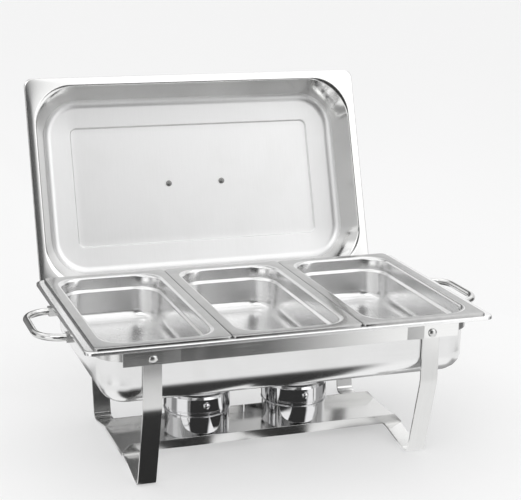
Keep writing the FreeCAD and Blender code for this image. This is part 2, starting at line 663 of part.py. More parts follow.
def place_burner_piece(body, place, lift):
    """Moves a piece drawn about the burner holder's own axis to where that holder stands."""
    bind(body, "Placement.Base.x", place)
    bind(body, "Placement.Base.z", f"{cup_floor} + {lift}")


def make_cup(label, place):
    body = new_body(label)
    wall = "( cup_radius - cup_metal )"
    bead = "( cup_radius + cup_bead )"
    outline = (
        ("0", "0"), ("cup_radius - cup_bend", "0"), ("cup_radius", "cup_bend"), ("cup_radius", f"{cup_height} - 2 * cup_bead"),
        (bead, f"{cup_height} - 1.5 * cup_bead"), (bead, cup_height), (wall, cup_height), (wall, "cup_bend + cup_metal"),
        (f"{wall} - cup_bend", "cup_metal"), ("0", "cup_metal"),
    )
    add_revolution(body, "cup", outline)
    place_burner_piece(body, place, "0")
    return add_node(label, body)


def make_cap(label, place):
    """Cap with a flame opening; its spigot sits in the cup's mouth."""
    body = new_body(label)
    outer = "( cup_radius + cup_bead )"
    wall = f"( {outer} - cup_metal )"
    spigot = "( cup_radius - cup_metal - cap_clearance )"
    outline = (
        (f"{spigot} - cup_metal", "-1 * cap_spigot"), (spigot, "-1 * cap_spigot"), (spigot, "0"), (outer, "0"),
        (outer, f"{cap_height} - cap_bend"), (f"{outer} - 0.3 * cap_bend", f"{cap_height} - 0.3 * cap_bend"),
        (f"{outer} - cap_bend", cap_height),
        ("flame_radius", cap_height), ("flame_radius", f"{cap_height} - cup_metal"),
        (f"{wall} - 0.9 * cap_bend", f"{cap_height} - cup_metal"),
        (f"{wall} - 0.24 * cap_bend", f"{cap_height} - 0.44 * cap_bend"), (wall, f"{cap_height} - cap_bend"),
        (wall, "cup_metal"), (f"{spigot} - cup_metal", "cup_metal"),
    )
    add_revolution(body, "cap", outline)
    pivot = new_sketch(body, "pivot_outline", "XY_Plane", f"{cap_height} + cup_metal")
    add_circle(pivot, "rivet_shaft", "0", "damper_pivot")
    add_pocket(body, "pivot_hole", pivot, "cup_metal * 4")
    knob = new_sketch(body, "knob_outline", "XZ_Plane")
    add_circle(knob, "knob_shaft", "0", knob_height)
    add_pocket(body, "knob_hole", knob, "2 * cup_radius", flip=True)
    place_burner_piece(body, place, f"{cup_height} + seat_play")
    return add_node(label, body)


def make_damper(label, place, tab_side):
    """Disc that swings about its rivet to open or close the flame opening."""
    body = new_body(label)
    disc = new_sketch(body, "disc_outline", "XY_Plane")
    add_circle(disc, "damper_radius")
    add_pad(body, "disc", disc, "cup_metal")
    arm = new_sketch(body, "arm_outline", "XY_Plane")
    end = "damper_pivot + 4"
    add_outline(arm, (("-5", "0"), ("5", "0"), ("5", end), ("-5", end)))
    add_pad(body, "arm", arm, "cup_metal")
    tab = new_sketch(body, "tab_outline", "XY_Plane")
    near = f"{tab_side} * ( damper_radius - 3 )"
    far = f"{tab_side} * ( damper_radius - 2 )"
    add_outline(tab, ((near, "-6"), (far, "-6"), (far, "6"), (near, "6")))
    add_pad(body, "tab", tab, "3.2")
    hole = new_sketch(body, "pivot_outline", "XY_Plane", "cup_metal * 2")
    add_circle(hole, "rivet_shaft + pivot_play", "0", "damper_pivot")
    add_pocket(body, "pivot_hole", hole, "cup_metal * 4")
    place_burner_piece(body, place, f"{cup_height} + {cap_height} + damper_play")
    return add_node(label, body)


def make_damper_rivet(label, place):
    body = new_body(label)
    top = "( cup_metal + damper_play )"
    outline = (
        ("0", "-1 * cup_metal - 0.8"), ("3.2", "-1 * cup_metal - 0.8"), ("3.2", "-1 * cup_metal"),
        ("rivet_shaft", "-1 * cup_metal"), ("rivet_shaft", top), ("3.4", top), ("3.2", f"{top} + 0.9"), ("1.8", f"{top} + 1.5"),
        ("0", f"{top} + 1.6"),
    )
    add_revolution(body, "rivet", outline)
    place_burner_piece(body, place, f"{cup_height} + {cap_height} + seat_play")
    bind(body, "Placement.Base.y", "damper_pivot")
    return add_node(label, body)


def make_cap_knob(label, place):
    """Small round knob riveted through the front of the cap."""
    body = new_body(label)
    inside = "( cup_radius + cup_bead - cup_metal )"
    face = "( cup_radius + cup_bead )"
    outline = (
        ("0", f"{inside} - 0.9"), ("2.8", f"{inside} - 0.9"), ("2.8", f"{inside} - 0.25"), ("knob_shaft", f"{inside} - 0.25"),
        ("knob_shaft", face), ("knob_radius", face), ("knob_radius", f"{face} + 1.2"), ("3.6", f"{face} + 2.6"),
        ("1.8", f"{face} + 3.4"),
        ("0", f"{face} + 3.6"),
    )
    add_revolution(body, "knob", outline)
    body.Placement.Rotation = FreeCAD.Rotation(UP, FreeCAD.Vector(0, -1, 0))
    place_burner_piece(body, place, f"{cup_height} + seat_play + {knob_height}")
    return add_node(label, body)


def lid_placement():
    """The closed lid turned back about its pivot to where it is parked."""
    seat = FreeCAD.Vector(0, 0, size(f"{flange_top} + lid_seat_gap"))
    pivot = FreeCAD.Vector(0, size(f"{rim_reach} / 2 + lid_pivot_out"), size(f"{flange_top} - lid_pivot_drop"))
    swing = FreeCAD.Rotation(FreeCAD.Vector(1, 0, 0), -size("lid_open_angle"))
    closed = FreeCAD.Placement(seat, FreeCAD.Rotation())
    return FreeCAD.Placement(FreeCAD.Vector(), swing, pivot) * closed


def centre_front_to_back():
    """Slides every piece in Y so that the whole object is centred on the frame."""
    boxes = [thing.Shape.optimalBoundingBox(False, False) for _, thing in nodes]
    middle = (min(box.YMin for box in boxes) + max(box.YMax for box in boxes)) / 2
    for _, thing in nodes:
        thing.setExpression("Placement.Base.y", None)
        place = thing.Placement
        place.Base = place.Base - FreeCAD.Vector(0, middle, 0)
        thing.Placement = place
    doc.recompute()


make_water_pan()
for pan_label, pan_place in (("food_pan_left", -1), ("food_pan_centre", 0), ("food_pan_right", 1)):
    make_food_pan(pan_label, pan_place)
lid_pieces = (make_lid_shell(), make_lid_handle(), make_lid_screws())
for half_turn, rail_label in ((0, "front_rail"), (180, "rear_rail")):
    make_rail(rail_label, half_turn)
for half_turn, end_name in ((0, "right"), (180, "left")):
    make_end_bracket(f"end_bracket_{end_name}", half_turn)
    make_end_handle(f"handle_{end_name}", half_turn)
    for lug_side, lug_name in ((-1, "a"), (1, "b")):
        make_lug(f"handle_lug_{end_name}_{lug_name}", lug_side, half_turn)
make_leg("leg_left", -1)
make_leg("leg_right", 1)
make_pivot_rivets()
make_shelf()
for burner_name, tab_side in (("left", -1), ("right", 1)):
    burner_x = f"burner_{burner_name}_x"
    make_cup(f"burner_cup_{burner_name}", burner_x)
    make_cap(f"burner_cap_{burner_name}", burner_x)
    make_damper(f"damper_{burner_name}", burner_x, tab_side)
    make_damper_rivet(f"damper_rivet_{burner_name}", burner_x)
    make_cap_knob(f"cap_knob_{burner_name}", burner_x)
doc.recompute()
for piece in lid_pieces:
    piece.Placement = lid_placement()
doc.recompute()
centre_front_to_back()

for thing in doc.Objects:
    faults = [word for word in thing.State if word in ("Invalid", "Error")]
    if faults:
        raise ValueError(f"{thing.Label}: {faults}")

os.makedirs("parts", exist_ok=True)
for label, thing in nodes:
    shape = thing.Shape
    if shape.isNull() or not shape.isValid() or not shape.Solids:
        raise ValueError(f"{label} has no sound shape")
    shape.exportStep(f"parts/{label}.step")
print(len(nodes), "nodes written")
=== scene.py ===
import json
import math
import bpy
from mathutils import Matrix, Vector


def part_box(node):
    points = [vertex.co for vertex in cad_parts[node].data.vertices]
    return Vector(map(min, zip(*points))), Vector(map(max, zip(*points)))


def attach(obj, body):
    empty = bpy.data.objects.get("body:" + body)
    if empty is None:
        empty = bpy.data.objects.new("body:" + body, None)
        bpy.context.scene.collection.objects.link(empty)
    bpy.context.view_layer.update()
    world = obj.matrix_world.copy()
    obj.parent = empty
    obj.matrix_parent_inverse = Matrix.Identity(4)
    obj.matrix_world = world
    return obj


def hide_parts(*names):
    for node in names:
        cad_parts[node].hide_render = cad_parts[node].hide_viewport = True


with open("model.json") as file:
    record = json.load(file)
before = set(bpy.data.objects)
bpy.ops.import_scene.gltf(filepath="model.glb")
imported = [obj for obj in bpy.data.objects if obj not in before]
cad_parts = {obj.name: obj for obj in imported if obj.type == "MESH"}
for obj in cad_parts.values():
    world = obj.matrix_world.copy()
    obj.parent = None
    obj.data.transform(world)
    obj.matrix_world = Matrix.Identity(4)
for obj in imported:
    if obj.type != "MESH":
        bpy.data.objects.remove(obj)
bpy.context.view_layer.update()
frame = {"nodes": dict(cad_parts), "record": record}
record = frame["record"]
print("frame loaded:", len(frame["nodes"]), "nodes")

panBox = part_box("water_pan")
dishY = (panBox[0].y + panBox[1].y) / 2  # middle of the dish, front to back
rimTop = panBox[1].z
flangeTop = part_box("food_pan_centre")[1].z
lidJoint = [joint for joint in record["behaviour"]["joints"] if joint["name"] == "lid_swing"][0]
lidPivot = Vector(lidJoint["pos_m"])
lidParked = math.radians(lidJoint["range_deg"][0])  # closed to parked, about X


def addNode(tree, kind, inputs=None, **settings):
    node = tree.nodes.new(kind)
    for name, value in settings.items():
        setattr(node, name, value)
    for name, value in (inputs or {}).items():
        if isinstance(value, bpy.types.NodeSocket):
            tree.links.new(value, node.inputs[name])
        else:
            node.inputs[name].default_value = value
    return node


def addMath(tree, operation, first, second=None, clamp=False):
    node = tree.nodes.new("ShaderNodeMath")
    node.operation = operation
    node.use_clamp = clamp
    for socket, value in zip(node.inputs, (first, second)):
        if isinstance(value, bpy.types.NodeSocket):
            tree.links.new(value, socket)
        elif value is not None:
            socket.default_value = value
    return node.outputs[0]


def addRamp(tree, factor, stops):
    # stops are (position, grey or colour)
    node = tree.nodes.new("ShaderNodeValToRGB")
    ramp = node.color_ramp
    while len(ramp.elements) < len(stops):
        ramp.elements.new(0.5)
    for element, (place, tone) in zip(ramp.elements, stops):
        element.position = place
        element.color = (tone, tone, tone, 1) if isinstance(tone, float) else (*tone, 1)
    tree.links.new(factor, node.inputs[0])
    return node.outputs["Color"]


def startGroup(name, kind, inputs, outputs):
    tree = bpy.data.node_groups.new(name, kind)
    for inOut, sockets in (("INPUT", inputs), ("OUTPUT", outputs)):
        for socketName, socketKind, value in sockets:
            socket = tree.interface.new_socket(socketName, in_out=inOut, socket_type=socketKind)
            if value is not None:
                socket.default_value = value
    return tree, tree.nodes.new("NodeGroupInput").outputs, tree.nodes.new("NodeGroupOutput").inputs


def brushedGrainGroup():
    # long fine lines left by the belt; Stretch is how often they repeat along each axis, per metre
    tree, ins, outs = startGroup(
        "brushedGrain", "ShaderNodeTree",
        [("Stretch", "NodeSocketVector", (20, 900, 900)), ("Patchiness", "NodeSocketFloat", 0.4)],
        [("Lines", "NodeSocketFloat", None), ("Height", "NodeSocketFloat", None)],
    )
    place = addNode(tree, "ShaderNodeTexCoord").outputs["Object"]
    scaled = addNode(tree, "ShaderNodeVectorMath", {0: place, 1: ins["Stretch"]}, operation="MULTIPLY")
    lines = addNode(
        tree, "ShaderNodeTexNoise",
        {"Vector": scaled.outputs[0], "Scale": 1.0, "Detail": 4.0, "Roughness": 0.62},
    )
    patches = addNode(tree, "ShaderNodeTexNoise", {"Vector": place, "Scale": 22.0, "Detail": 2.0})
    fade = addMath(tree, "MULTIPLY", patches.outputs[0], ins["Patchiness"])
    kept = addMath(tree, "SUBTRACT", 1.0, fade)
    centred = addMath(tree, "SUBTRACT", lines.outputs[0], 0.5)
    tree.links.new(addMath(tree, "ADD", addMath(tree, "MULTIPLY", centred, kept), 0.5), outs["Lines"])
    tree.links.new(addMath(tree, "MULTIPLY", centred, kept), outs["Height"])
    return tree


def handMarksGroup():
    # cloth wipes, water spots and finger marks
    tree, ins, outs = startGroup(
        "handMarks", "ShaderNodeTree",
        [
            ("Wipe Scale", "NodeSocketFloat", 9.0), ("Spot Scale", "NodeSocketFloat", 160.0),
            ("Amount", "NodeSocketFloat", 0.6),
        ],
        [("Marks", "NodeSocketFloat", None), ("Spots", "NodeSocketFloat", None)],
    )
    place = addNode(tree, "ShaderNodeTexCoord").outputs["Object"]
    wipes = addNode(
        tree, "ShaderNodeTexNoise",
        {"Vector": place, "Scale": ins["Wipe Scale"], "Detail": 5.0, "Roughness": 0.55, "Distortion": 1.2},
    )
    soft = addNode(
        tree, "ShaderNodeMapRange",
        {
            "Value": wipes.outputs[0], "From Min": 0.42, "From Max": 0.7, "To Min": 0.0,
            "To Max": ins["Amount"],
        },
        interpolation_type="SMOOTHSTEP",
    )
    tree.links.new(soft.outputs[0], outs["Marks"])
    spots = addNode(
        tree, "ShaderNodeTexVoronoi", {"Vector": place, "Scale": ins["Spot Scale"], "Randomness": 1.0},
    )
    ring = addNode(
        tree, "ShaderNodeMapRange",
        {
            "Value": spots.outputs["Distance"], "From Min": 0.16, "From Max": 0.05, "To Min": 0.0,
            "To Max": ins["Amount"],
        },
        interpolation_type="SMOOTHSTEP",
    )
    scatter = addNode(tree, "ShaderNodeTexNoise", {"Vector": place, "Scale": 30.0})
    few = addNode(
        tree, "ShaderNodeMapRange", {"Value": scatter.outputs[0], "From Min": 0.56, "From Max": 0.66},
        interpolation_type="SMOOTHSTEP",
    )
    tree.links.new(addMath(tree, "MULTIPLY", ring.outputs[0], few.outputs[0]), outs["Spots"])
    return tree


def edgeRoundAndHighlightGroup():
    # rounds sharp edges for the light, and finds them for a painted edge highlight
    tree, ins, outs = startGroup(
        "edgeRoundAndHighlight", "ShaderNodeTree",
        [
            ("Radius", "NodeSocketFloat", 0.0006), ("Height", "NodeSocketFloat", 0.0),
            ("Depth", "NodeSocketFloat", 0.0002),
        ],
        [("Edge", "NodeSocketFloat", None), ("Normal", "NodeSocketVector", None)],
    )
    rounded = addNode(tree, "ShaderNodeBevel", {"Radius": ins["Radius"]}, samples=6)
    true = addNode(tree, "ShaderNodeNewGeometry").outputs["Normal"]
    facing = addNode(tree, "ShaderNodeVectorMath", {0: rounded.outputs[0], 1: true}, operation="DOT_PRODUCT")
    edge = addNode(
        tree, "ShaderNodeMapRange",
        {"Value": facing.outputs["Value"], "From Min": 0.995, "From Max": 0.8, "To Min": 0.0, "To Max": 1.0},
    )
    bump = addNode(
        tree, "ShaderNodeBump",
        {"Strength": 1.0, "Distance": ins["Depth"], "Height": ins["Height"], "Normal": rounded.outputs[0]},
    )
    tree.links.new(edge.outputs[0], outs["Edge"])
    tree.links.new(bump.outputs[0], outs["Normal"])
    return tree


def settledDustGroup():
    # faint dull film on what faces up
    tree, ins, outs = startGroup(
        "settledDust", "ShaderNodeTree",
        [("Amount", "NodeSocketFloat", 0.3)], [("Dust", "NodeSocketFloat", None)],
    )
    normal = addNode(tree, "ShaderNodeNewGeometry").outputs["Normal"]
    upward = addNode(tree, "ShaderNodeSeparateXYZ", {0: normal}).outputs["Z"]
    place = addNode(tree, "ShaderNodeTexCoord").outputs["Object"]
    specks = addNode(tree, "ShaderNodeTexNoise", {"Vector": place, "Scale": 240.0, "Detail": 3.0})
    level = addNode(
        tree, "ShaderNodeMapRange",
        {"Value": upward, "From Min": 0.6, "From Max": 1.0, "To Max": ins["Amount"]},
    )
    tree.links.new(addMath(tree, "MULTIPLY", level.outputs[0], specks.outputs[0]), outs["Dust"])
    return tree


brushedGrain = brushedGrainGroup()
handMarks = handMarksGroup()
edgeRoundAndHighlight = edgeRoundAndHighlightGroup()
settledDust = settledDustGroup()


def steelMaterial(name, look):
    # stainless steel; look says how it is brushed and marked, and how strongly its edges get a painted
    # highlight
    material = bpy.data.materials.new(name)
    material.use_nodes = True
    tree = material.node_tree
    tree.nodes.clear()
    grain = addNode(tree, "ShaderNodeGroup", node_tree=brushedGrain)
    grain.inputs["Stretch"].default_value = look["stretch"]
    grain.inputs["Patchiness"].default_value = look["patchiness"]
    marks = addNode(tree, "ShaderNodeGroup", node_tree=handMarks)
    marks.inputs["Wipe Scale"].default_value = look["wipeScale"]
    marks.inputs["Spot Scale"].default_value = look["spotScale"]
    marks.inputs["Amount"].default_value = look["marks"]
    dust = addNode(tree, "ShaderNodeGroup", node_tree=settledDust)
    dust.inputs["Amount"].default_value = look["dust"]
    edge = addNode(tree, "ShaderNodeGroup", node_tree=edgeRoundAndHighlight)
    edge.inputs["Radius"].default_value = look["edgeRadius"]
    edge.inputs["Depth"].default_value = look["grainDepth"]
    tree.links.new(grain.outputs["Height"], edge.inputs["Height"])

    tone = addRamp(tree, grain.outputs["Lines"], [(0.25, look["darkLine"]), (0.75, look["lightLine"])])
    stained = addNode(
        tree, "ShaderNodeMix", {0: marks.outputs["Marks"]}, data_type="RGBA", blend_type="MULTIPLY",
    )
    tree.links.new(tone, stained.inputs[6])
    stained.inputs[7].default_value = (*look["markTint"], 1)
    # edges lightened in colour: painted highlight
    bright = addNode(
        tree, "ShaderNodeMix", {0: addMath(tree, "MULTIPLY", edge.outputs["Edge"], look["edgeShine"])},
        data_type="RGBA",
    )
    tree.links.new(stained.outputs[2], bright.inputs[6])
    bright.inputs[7].default_value = (*look["edgeHighlightTint"], 1)

    rough = addMath(
        tree, "MULTIPLY", addMath(tree, "SUBTRACT", grain.outputs["Lines"], 0.5), look["grainRoughness"],
    )
    rough = addMath(tree, "ADD", rough, look["roughness"])
    rough = addMath(
        tree, "ADD", rough, addMath(tree, "MULTIPLY", marks.outputs["Marks"], look["markRoughness"]),
    )
    rough = addMath(
        tree, "ADD", rough, addMath(tree, "MULTIPLY", marks.outputs["Spots"], look["markRoughness"]),
    )
    rough = addMath(tree, "ADD", rough, addMath(tree, "MULTIPLY", dust.outputs["Dust"], 0.3), clamp=True)

    surface = addNode(
        tree, "ShaderNodeBsdfPrincipled",
        {
            "Base Color": bright.outputs[2], "Metallic": 1.0, "Roughness": rough,
            "Normal": edge.outputs["Normal"],
        },
    )
    surface.inputs["Anisotropic"].default_value = look["anisotropic"]
    output = addNode(tree, "ShaderNodeOutputMaterial")
    tree.links.new(surface.outputs[0], output.inputs[0])
    return material


satinLook = {
    "stretch": (700, 26, 700), "patchiness": 0.5, "wipeScale": 11.0, "spotScale": 170.0, "marks": 0.35,
    "dust": 0.12, "edgeRadius": 0.0006, "grainDepth": 0.00001, "darkLine": (0.69, 0.69, 0.685),
    "lightLine": (0.73, 0.73, 0.725), "markTint": (0.93, 0.93, 0.92), "edgeShine": 0.5,
    "edgeHighlightTint": (0.88, 0.88, 0.88), "grainRoughness": 0.10, "roughness": 0.17, "markRoughness": 0.07,
    "anisotropic": 0.0,
}
looks = {
    "foodPanSteel": {
        "stretch": (60, 60, 240), "roughness": 0.24, "grainRoughness": 0.02, "grainDepth": 0.000002,
        "marks": 0.25, "darkLine": (0.77, 0.77, 0.77), "lightLine": (0.81, 0.81, 0.81),
    },
    # the rim's darker colour is a painted dark reflection
    "panRimPaintedDarkSteel": {
        "stretch": (60, 60, 60), "roughness": 0.14, "grainRoughness": 0.06, "grainDepth": 0.000006,
        "darkLine": (0.36, 0.36, 0.36), "lightLine": (0.5, 0.5, 0.495),
    },
    "waterPanSteel": {
        "stretch": (24, 700, 700), "roughness": 0.2, "grainRoughness": 0.05, "grainDepth": 0.000005,
        "darkLine": (0.8, 0.8, 0.8), "lightLine": (0.84, 0.84, 0.84),
    },
    "lidSteel": {
        "stretch": (500, 30, 30), "roughness": 0.40, "grainRoughness": 0.04, "marks": 0.2,
        "grainDepth": 0.000004, "darkLine": (0.80, 0.80, 0.80), "lightLine": (0.83, 0.83, 0.83),
    },
    "lidRimSteel": {
        "stretch": (40, 40, 40), "roughness": 0.13, "grainRoughness": 0.05, "marks": 0.25,
        "grainDepth": 0.000005,
    },
    "railSteel": {"stretch": (16, 900, 900), "roughness": 0.09, "grainRoughness": 0.06, "edgeShine": 0.8},
    "legSteel": {"stretch": (900, 20, 20), "roughness": 0.17, "grainRoughness": 0.16, "edgeShine": 0.8},
    "bracketSteel": {"stretch": (900, 20, 900), "roughness": 0.2},
    "shelfSteel": {"stretch": (18, 700, 700), "roughness": 0.2, "dust": 0.12, "marks": 0.25},
    "handleSteel": {"stretch": (40, 40, 900), "roughness": 0.14, "edgeRadius": 0.0003},
    "burnerChrome": {
        "stretch": (60, 60, 1200), "roughness": 0.05, "grainRoughness": 0.03, "marks": 0.25, "dust": 0.05,
        "darkLine": (0.72, 0.72, 0.73), "lightLine": (0.78, 0.78, 0.79), "grainDepth": 0.000008,
        "edgeRadius": 0.0004,
    },
    "fastenerSteel": {"stretch": (300, 300, 300), "roughness": 0.22, "edgeRadius": 0.0002, "marks": 0.5},
    "screwSteel": {
        "stretch": (300, 300, 300), "roughness": 0.3, "edgeRadius": 0.0002, "darkLine": (0.22, 0.22, 0.22),
        "lightLine": (0.34, 0.34, 0.33),
    },
}
steels = {name: steelMaterial(name, {**satinLook, **changes}) for name, changes in looks.items()}
print("materials:", len(steels))


def roundedRing(halfLong, halfWide, height, corner, cornerSteps, sideSteps):
    # points round a rounded rectangle, anticlockwise from above
    centres = ((1, 1, 0), (-1, 1, 90), (-1, -1, 180), (1, -1, 270))
    arcs = []
    for signX, signY, startDeg in centres:
        centre = Vector((signX * (halfLong - corner), signY * (halfWide - corner), height))
        turns = [math.radians(startDeg + 90 * k / cornerSteps) for k in range(cornerSteps + 1)]
        arcs.append([centre + corner * Vector((math.cos(turn), math.sin(turn), 0)) for turn in turns])
    ring = []
    for arc, following in zip(arcs, arcs[1:] + arcs[:1]):
        ring += arc
        ring += [arc[-1].lerp(following[0], k / sideSteps) for k in range(1, sideSteps)]
    return ring


def roundedProfile(stations, steps):
    # stations are (halfLong, halfWide, height, corner, bend radius); bends round the profile between them
    profile = []
    for k, (halfLong, halfWide, height, corner, bend) in enumerate(stations):
        here = Vector((halfLong, halfWide, height, corner))
        if not bend or k in (0, len(stations) - 1):
            profile.append(here)
            continue
        before, after = (Vector(stations[j][:4]) for j in (k - 1, k + 1))
        into, out = (Vector((p[1] - here[1], p[2] - here[2])) for p in (before, after))
        opening = into.angle(out)
        setback = bend / math.tan(opening / 2)
        start = here.lerp(before, setback / into.length)
        end = here.lerp(after, setback / out.length)
        bisector = (into.normalized() + out.normalized()).normalized()
        reach = bend / math.sin(opening / 2)
        centre = Vector((here[1], here[2])) + bisector * reach
        first = Vector((start[1], start[2])) - centre
        last = Vector((end[1], end[2])) - centre
        swing = first.angle_signed(last)
        for step in range(steps + 1):
            share = step / steps
            spot = centre + Matrix.Rotation(-swing * share, 2) @ first
            point = start.lerp(end, share)
            wide = (spot.x - start[1]) / (end[1] - start[1]) if abs(end[1] - start[1]) > 1e-9 else share
            point[0] = start[0] + (end[0] - start[0]) * wide
            point[1], point[2] = spot.x, spot.y
            profile.append(point)
    return profile


def pressedShell(name, stations, metal, materials, outward=-1, polished=0):
    # sheet pressed to the profile from its outer edge to its floor, then given its thickness;
    # as many rings as polished says, from the edge, get the second material
    cornerSteps, sideSteps, bendSteps = 12, 8, 6
    rings = [
        roundedRing(long, wide, height, corner, cornerSteps, sideSteps)
        for long, wide, height, corner in roundedProfile(stations, bendSteps)
    ]
    floor = rings[-1]
    middle = sum(floor, Vector()) / len(floor)
    rings += [[point.lerp(middle, share) for point in floor] for share in (0.2, 0.4, 0.6, 0.8)]
    count = len(floor)
    points = [point for ring in rings for point in ring] + [middle]
    faces = []
    for r in range(len(rings) - 1):
        a, b = r * count, (r + 1) * count
        faces += [(a + k, a + (k + 1) % count, b + (k + 1) % count, b + k) for k in range(count)]
    last = (len(rings) - 1) * count
    faces += [(last + k, last + (k + 1) % count, len(points) - 1) for k in range(count)]
    mesh = bpy.data.meshes.new(name)
    mesh.from_pydata(points, [], faces)
    for material in materials:
        mesh.materials.append(material)
    mesh.polygons.foreach_set("material_index", [1 if k < polished * count else 0 for k in range(len(faces))])
    sheet = bpy.data.objects.new(name, mesh)
    bpy.context.collection.objects.link(sheet)
    solid = sheet.modifiers.new("metal", "SOLIDIFY")
    solid.thickness = metal
    solid.offset = outward
    solid.use_even_offset = True
    return plainMesh(sheet)


def plainMesh(source):
    # what the modifiers give, as a plain mesh in its place
    evaluated = source.evaluated_get(bpy.context.evaluated_depsgraph_get())
    mesh = bpy.data.meshes.new_from_object(evaluated)
    source.modifiers.clear()
    source.data = mesh
    mesh.polygons.foreach_set("use_smooth", [True] * len(mesh.polygons))
    mesh.set_sharp_from_angle(angle=math.radians(38))
    mesh.update()
    return source


def bakePlace(thing, place):
    thing.data.transform(place)
    thing.data.update()


foodPan = {
    "flange": 0.015, "lip": 0.0035, "edgeBend": 0.0012, "mouthBend": 0.0034, "mouthCorner": 0.037,
    "draft": 0.0006, "shoulder": 0.0175, "shoulderDrop": 0.0035, "shoulderStep": 0.0030,
    "shoulderBend": 0.0022, "floorBend": 0.016, "lipCorner": 0.006, "stepCorner": 0.034,
    "footCorner": 0.033, "floorCorner": 0.015, "floorInset": 0.024, "metal": 0.0009, "polishedRings": 8,
}
for name in ("food_pan_left", "food_pan_centre", "food_pan_right"):
    low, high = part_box(name)
    halfLong, halfWide = (high.x - low.x) / 2, (high.y - low.y) / 2
    depth = high.z - low.z
    p = foodPan
    wall = p["flange"] + p["metal"]
    step = wall + p["draft"] + p["shoulderStep"]
    foot = step + p["draft"]
    floor = foot + p["floorInset"]
    profile = [
        (0, -p["lip"], p["lipCorner"], 0), (0, 0, p["lipCorner"], p["edgeBend"]),
        (wall, 0, p["mouthCorner"], p["mouthBend"]),
        (wall + p["draft"], -p["shoulder"], p["mouthCorner"], p["shoulderBend"]),
        (step, -p["shoulder"] - p["shoulderDrop"], p["stepCorner"], p["shoulderBend"]),
        (foot, p["metal"] - depth, p["footCorner"], p["floorBend"]),
        (floor, p["metal"] - depth, p["floorCorner"], 0),
    ]
    stations = [
        (halfLong - inset, halfWide - inset, height, corner, bend) for inset, height, corner, bend in profile
    ]
    # the polished rim rings get the darker rim steel: painted dark reflection
    pan = pressedShell(
        "pressed_" + name, stations, p["metal"], [steels["foodPanSteel"], steels["panRimPaintedDarkSteel"]],
        polished=p["polishedRings"],
    )
    bakePlace(pan, Matrix.Translation(((low.x + high.x) / 2, (low.y + high.y) / 2, high.z)))
    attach(pan, name)
    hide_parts(name)
print("food pans pressed")

waterPan = {
    "endFlange": 0.0251, "sideFlange": 0.0171, "lip": 0.005, "rimCorner": 0.012, "edgeBend": 0.0018,
    "mouthBend": 0.003, "corner": 0.0391, "draft": 0.0004, "floorBend": 0.031, "floorInset": 0.036,
    "floorCorner": 0.006, "metal": 0.0009,
}
p = waterPan
halfLong, halfWide = panBox[1].x, (panBox[1].y - panBox[0].y) / 2
depth = panBox[1].z - panBox[0].z
mouthLong, mouthWide = halfLong - p["endFlange"], halfWide - p["sideFlange"]
footLong, footWide = mouthLong - p["draft"], mouthWide - p["draft"]
stations = [
    (halfLong, halfWide, -p["lip"], p["rimCorner"], 0),
    (halfLong, halfWide, 0, p["rimCorner"], p["edgeBend"]),
    (mouthLong, mouthWide, 0, p["corner"], p["mouthBend"]),
    (footLong, footWide, p["metal"] - depth, p["corner"] - p["draft"], p["floorBend"]),
    (footLong - p["floorInset"], footWide - p["floorInset"], p["metal"] - depth, p["floorCorner"], 0),
]
basin = pressedShell("pressed_water_pan", stations, p["metal"], [steels["waterPanSteel"]])
bakePlace(basin, Matrix.Translation((0, dishY, rimTop)))
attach(basin, "water_pan")
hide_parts("water_pan")
print("water pan pressed")

lid = {
    "halfLong": 0.261, "halfWide": 0.161, "flange": 0.0129, "hem": 0.003, "rimCorner": 0.012,
    "edgeBend": 0.0012, "mouthCorner": 0.0631, "mouthBend": 0.003, "depth": 0.0411, "lean": 0.0197,
    "floorBend": 0.014, "droop": 0.0006, "panelLong": 0.191, "panelWide": 0.091, "panelRise": 0.0016,
    "panelCorner": 0.010, "panelBend": 0.0012, "panelInset": 0.010, "panelFloorCorner": 0.005,
    "panelStepCorner": 0.009, "metal": 0.0009, "seatGap": 0.0003, "polishedRings": 15,
}
p = lid
mouthLong, mouthWide = p["halfLong"] - p["flange"], p["halfWide"] - p["flange"]
topLong, topWide = mouthLong - p["lean"], mouthWide - p["lean"]
panelTop = p["depth"] + p["panelRise"]
stations = [
    (p["halfLong"], p["halfWide"], p["hem"], p["rimCorner"], 0),
    (p["halfLong"], p["halfWide"], p["droop"], p["rimCorner"], p["edgeBend"]),
    (mouthLong, mouthWide, 0, p["mouthCorner"], p["mouthBend"]),
    (topLong, topWide, p["depth"], p["mouthCorner"] - p["lean"] / 2, p["floorBend"]),
    (p["panelLong"], p["panelWide"], p["depth"], p["panelCorner"], p["panelBend"]),
    (
        p["panelLong"] - p["panelRise"], p["panelWide"] - p["panelRise"], panelTop, p["panelStepCorner"],
        p["panelBend"],
    ),
    (p["panelLong"] - p["panelInset"], p["panelWide"] - p["panelInset"], panelTop, p["panelFloorCorner"], 0),
]
dome = pressedShell(
    "pressed_lid", stations, p["metal"], [steels["lidSteel"], steels["lidRimSteel"]], outward=1,
    polished=p["polishedRings"],
)
closed = Matrix.Translation((0, dishY, flangeTop + p["seatGap"]))
swing = Matrix.Translation(lidPivot) @ Matrix.Rotation(lidParked, 4, "X") @ Matrix.Translation(-lidPivot)
parked = swing @ closed
bakePlace(dome, parked)
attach(dome, "lid")
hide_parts("lid_shell")
print("lid pressed")


def turnedMesh(name, profile, steps=24):
    # profile of (radius, height) from bottom to top, turned about Z; both ends are on the axis
    points = [(0, 0, profile[0][1])]
    for radius, height in profile[1:-1]:
        turns = [math.tau * k / steps for k in range(steps)]
        points += [(radius * math.cos(turn), radius * math.sin(turn), height) for turn in turns]
    points.append((0, 0, profile[-1][1]))
    top = len(points) - 1
    faces = [(0, 1 + (k + 1) % steps, 1 + k) for k in range(steps)]
    for ring in range(len(profile) - 3):
        a, b = 1 + ring * steps, 1 + (ring + 1) * steps
        faces += [(a + k, a + (k + 1) % steps, b + (k + 1) % steps, b + k) for k in range(steps)]
    last = top - steps
    faces += [(last + k, last + (k + 1) % steps, top) for k in range(steps)]
    mesh = bpy.data.meshes.new(name)
    mesh.from_pydata(points, [], faces)
    return mesh


